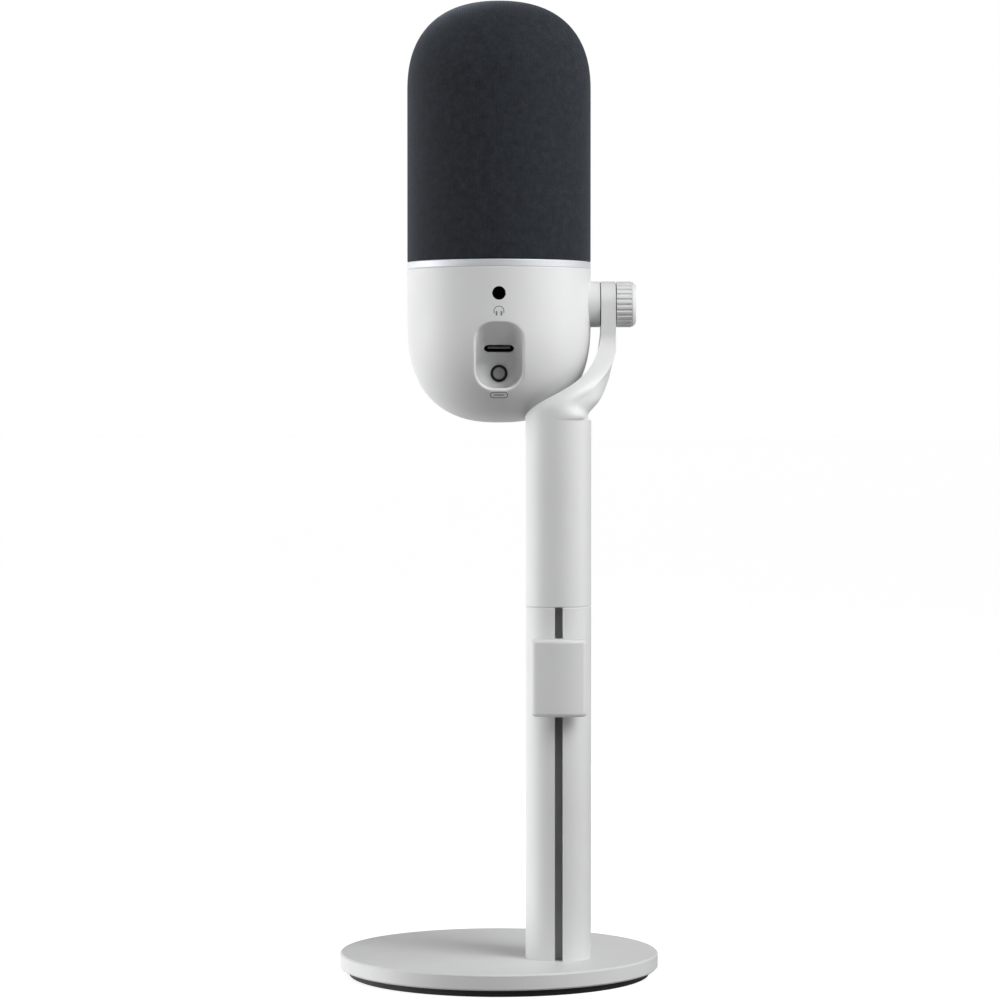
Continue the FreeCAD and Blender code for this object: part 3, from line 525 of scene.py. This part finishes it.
def fine_path(path):
    """The same path in steps short enough to follow the curved wall."""
    fine = [path[0]]
    for (x0, z0), (x1, z1) in zip(path, path[1:]):
        count = max(1, math.ceil(math.hypot(x1 - x0, z1 - z0) / INK_STEP))
        fine += [(x0 + (x1 - x0) * k / count, z0 + (z1 - z0) * k / count)
                 for k in range(1, count + 1)]
    return fine


def printed_band(name, path, width, closed=False):
    """A line of ink: a thin closed ribbon wrapped on the housing."""
    if closed:
        path = path + [path[0]]
    path = fine_path(path)
    if closed:
        path.append(path[1])
    left, right = band_outline(path, width)
    if closed:
        left, right = left[1:], right[1:]
    points, faces = [], []
    for (lx, lz), (rx, rz) in zip(left, right):
        points += [on_housing(lx, lz, INK_PROUD), on_housing(rx, rz, INK_PROUD),
                   on_housing(rx, rz, -INK_PROUD), on_housing(lx, lz, -INK_PROUD)]
    for i in range(len(left) - 1):
        a, b = 4 * i, 4 * (i + 1)
        for k in range(4):
            m = (k + 1) % 4
            faces.append((a + k, a + m, b + m, b + k))
    faces.append((3, 2, 1, 0))
    end = 4 * (len(left) - 1)
    faces.append((end, end + 1, end + 2, end + 3))
    mesh_piece(name, points, faces, INK, "head", smooth=False)


def arc_path(cx, cz, radius, start_deg, end_deg, steps):
    """Points along an arc about a centre, angles counted from +X."""
    path = []
    for i in range(steps + 1):
        angle = math.radians(start_deg + (end_deg - start_deg) * i / steps)
        path.append((cx + radius * math.cos(angle), cz + radius * math.sin(angle)))
    return path


def rear_symbols():
    """A plain headphone outline above the pocket and a plain port outline below it."""
    foot_z = HEADPHONE_TOP_Z - HEADPHONE_FOOT
    arch = [(HEADPHONE_R, foot_z)]
    arch += arc_path(0.0, HEADPHONE_TOP_Z - HEADPHONE_R, HEADPHONE_R, 0.0, 180.0, 24)
    arch += [(-HEADPHONE_R, foot_z)]
    printed_band("headphone_symbol_band", arch, 0.22 * MM)
    for side, name in ((-1, "left"), (1, "right")):
        pad = [(side * EAR_X, HEADPHONE_TOP_Z - drop) for drop in (EAR_FOOT, EAR_TOP)]
        printed_band("headphone_symbol_" + name, pad, 0.48 * MM)
    outline = arc_path(PORT_HALF_W, PORT_Z, PORT_R, -90.0, 90.0, 12)
    outline += arc_path(-PORT_HALF_W, PORT_Z, PORT_R, 90.0, 270.0, 12)
    printed_band("port_symbol_outline", outline, 0.24 * MM, closed=True)
    bar = [(-PORT_BAR_HALF_W, PORT_Z), (PORT_BAR_HALF_W, PORT_Z)]
    printed_band("port_symbol_bar", bar, 0.30 * MM)


# ---- contacts on the USB tongue ----------------------------------------
TONGUE_HALF_THICK = 0.35 * MM
MOUTH_BACK = 2.0 * MM
CONTACT_COUNT = 12
CONTACT_PITCH = 0.5 * MM
CONTACT_PROUD = 0.01 * MM
CONTACT_HALF_W = 0.13 * MM
CONTACT_HALF_THICK = 0.02 * MM
CONTACT_LENGTH = 2.6 * MM


def usb_contacts():
    """Rows of small plated contacts on both faces of the socket's tongue."""
    low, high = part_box("usb_tongue")
    inward = Vector((0.0, 1.0, 1.0)).normalized()
    up = Vector((0.0, -1.0, 1.0)).normalized()
    middle = Vector((0.0, (low.y + high.y) / 2, (low.z + high.z) / 2))
    mouth = middle - inward * MOUTH_BACK
    points, faces = [], []
    for face_side in (-1, 1):
        for i in range(CONTACT_COUNT):
            x = (i - (CONTACT_COUNT - 1) / 2) * CONTACT_PITCH
            lift = face_side * (TONGUE_HALF_THICK + CONTACT_PROUD)
            centre = mouth + up * lift + Vector((x, 0, 0))
            base = len(points)
            for along in (0.0, CONTACT_LENGTH):
                for dx, du in ((-1, -1), (1, -1), (1, 1), (-1, 1)):
                    corner = centre + inward * along
                    corner += Vector((dx * CONTACT_HALF_W, 0, 0)) + up * (du * CONTACT_HALF_THICK)
                    points.append(tuple(corner))
            faces.append((base, base + 3, base + 2, base + 1))
            faces.append((base + 4, base + 5, base + 6, base + 7))
            for k in range(4):
                m = (k + 1) % 4
                faces.append((base + k, base + m, base + 4 + m, base + 4 + k))
    mesh_piece("usb_contacts", points, faces, GOLD, "head", smooth=False)


# ---- studio -------------------------------------------------------------
# The lobes and the softboxes' watts weren't chosen by hand: a scratch program's least-squares
# fit gave them, and they were then rounded. report.md says more under "A rule not kept".
# each lobe: compass degrees from the rear towards +X, degrees up, tightness, radiance
LOBES = [
    (265, 0, 30, 3.8),
    (270, 0, 6, 3.2),
    (225, 0, 6, 1.7),
    (30, 35, 30, 2.9),
    (90, -45, 5, 0.90),
    (180, 0, 6, 0.60),
    (315, 0, 6, 0.30),
    (180, -45, 5, 0.27),
    (0, 45, 6, 0.26),
    (70, 0, 30, 0.20),
]
# each softbox: place, width, height, watts; all face the column's middle
SOFTBOXES = [
    ((0.35, -0.30, 0.55), 0.30, 0.30, 2.0),
    ((0.70, -0.05, 0.35), 0.35, 0.70, 1.3),
    ((0.60, -0.40, 0.50), 0.30, 0.40, 1.3),
]
SOFTBOX_TARGET = (0.0, 0.0, 0.16)
AMBIENT = 0.02
FLOOR_GLOW = 0.78
FLOOR_HALF_W = 30.0
CAMERA_PLACE = (0.0003, -1.0844, 0.1678)
CAMERA_DOWN_DEG = 1.324
CAMERA_LENS = 129.88


def floor_material():
    g = Graph("studio_floor")
    g.set(Roughness=0.9, Specular_IOR_Level=0.1, Emission_Strength=FLOOR_GLOW)
    g.shader.inputs["Emission Color"].default_value = (1, 1, 1, 1)
    g.colour(g.ramp(g.noise(3.0), [(0.3, (0.60, 0.60, 0.60)), (0.7, (0.61, 0.61, 0.61))]))
    return g.material


def studio_floor():
    """A pale floor that shows the object's soft shadow but throws no light back up at it."""
    half = FLOOR_HALF_W
    corners = [(-half, -half, 0), (half, -half, 0), (half, half, 0), (-half, half, 0)]
    mesh = bpy.data.meshes.new("studio_floor")
    mesh.from_pydata(corners, [], [(0, 1, 2, 3)])
    mesh.materials.append(floor_material())
    floor = bpy.data.objects.new("studio_floor", mesh)
    bpy.context.scene.collection.objects.link(floor)
    floor.visible_diffuse = False
    floor.visible_glossy = False
    floor.visible_shadow = False


def softbox(number, place, width, height, power):
    data = bpy.data.lights.new("softbox_%d" % number, "AREA")
    data.shape = "RECTANGLE"
    data.size = width
    data.size_y = height
    data.energy = power
    light = bpy.data.objects.new(data.name, data)
    light.location = place
    towards = Vector(SOFTBOX_TARGET) - Vector(place)
    light.rotation_euler = towards.to_track_quat("-Z", "Y").to_euler()
    bpy.context.scene.collection.objects.link(light)


def studio_sky():
    """Soft surround made of broad lobes of light; plain white where the camera sees it."""
    world = bpy.data.worlds.new("studio")
    world.use_nodes = True
    tree = world.node_tree
    tree.nodes.clear()
    coords = tree.nodes.new("ShaderNodeTexCoord")

    def calculate(operation, first, second):
        node = tree.nodes.new("ShaderNodeMath")
        node.operation = operation
        for socket, value in zip(node.inputs, (first, second)):
            if isinstance(value, (int, float)):
                socket.default_value = value
            else:
                tree.links.new(value, socket)
        return node.outputs[0]

    total = AMBIENT
    for compass, up, tightness, radiance in LOBES:
        turn, rise = math.radians(compass), math.radians(up)
        facing = tree.nodes.new("ShaderNodeVectorMath")
        facing.operation = "DOT_PRODUCT"
        facing.inputs[1].default_value = (math.sin(turn) * math.cos(rise),
                                          -math.cos(turn) * math.cos(rise), math.sin(rise))
        tree.links.new(coords.outputs["Generated"], facing.inputs[0])
        lobe = calculate("POWER", calculate("MAXIMUM", facing.outputs["Value"], 0.0), tightness)
        total = calculate("ADD", calculate("MULTIPLY", lobe, radiance), total)
    lit = tree.nodes.new("ShaderNodeBackground")
    tree.links.new(total, lit.inputs["Strength"])
    seen = tree.nodes.new("ShaderNodeBackground")
    seen.inputs["Color"].default_value = (1, 1, 1, 1)
    path = tree.nodes.new("ShaderNodeLightPath")
    mix = tree.nodes.new("ShaderNodeMixShader")
    out = tree.nodes.new("ShaderNodeOutputWorld")
    tree.links.new(path.outputs["Is Camera Ray"], mix.inputs["Fac"])
    tree.links.new(lit.outputs[0], mix.inputs[1])
    tree.links.new(seen.outputs[0], mix.inputs[2])
    tree.links.new(mix.outputs[0], out.inputs["Surface"])
    bpy.context.scene.world = world


def studio_camera():
    """Long lens at the height of the column's upper half, from the socket side."""
    data = bpy.data.cameras.new("camera")
    data.sensor_width = 36.0
    data.lens = CAMERA_LENS
    data.clip_end = 100.0
    camera = bpy.data.objects.new("camera", data)
    camera.location = CAMERA_PLACE
    camera.rotation_euler = (math.radians(90.0 - CAMERA_DOWN_DEG), 0.0, 0.0)
    bpy.context.scene.collection.objects.link(camera)
    bpy.context.scene.camera = camera


def studio():
    bpy.context.scene.view_settings.view_transform = "Standard"
    bpy.context.scene.view_settings.look = "None"
    studio_camera()
    studio_floor()
    studio_sky()
    for number, (place, width, height, power) in enumerate(SOFTBOXES):
        softbox(number, place, width, height, power)


paint_cad_nodes()
knit_sock()
foam_liner()
rear_symbols()
usb_contacts()
studio()
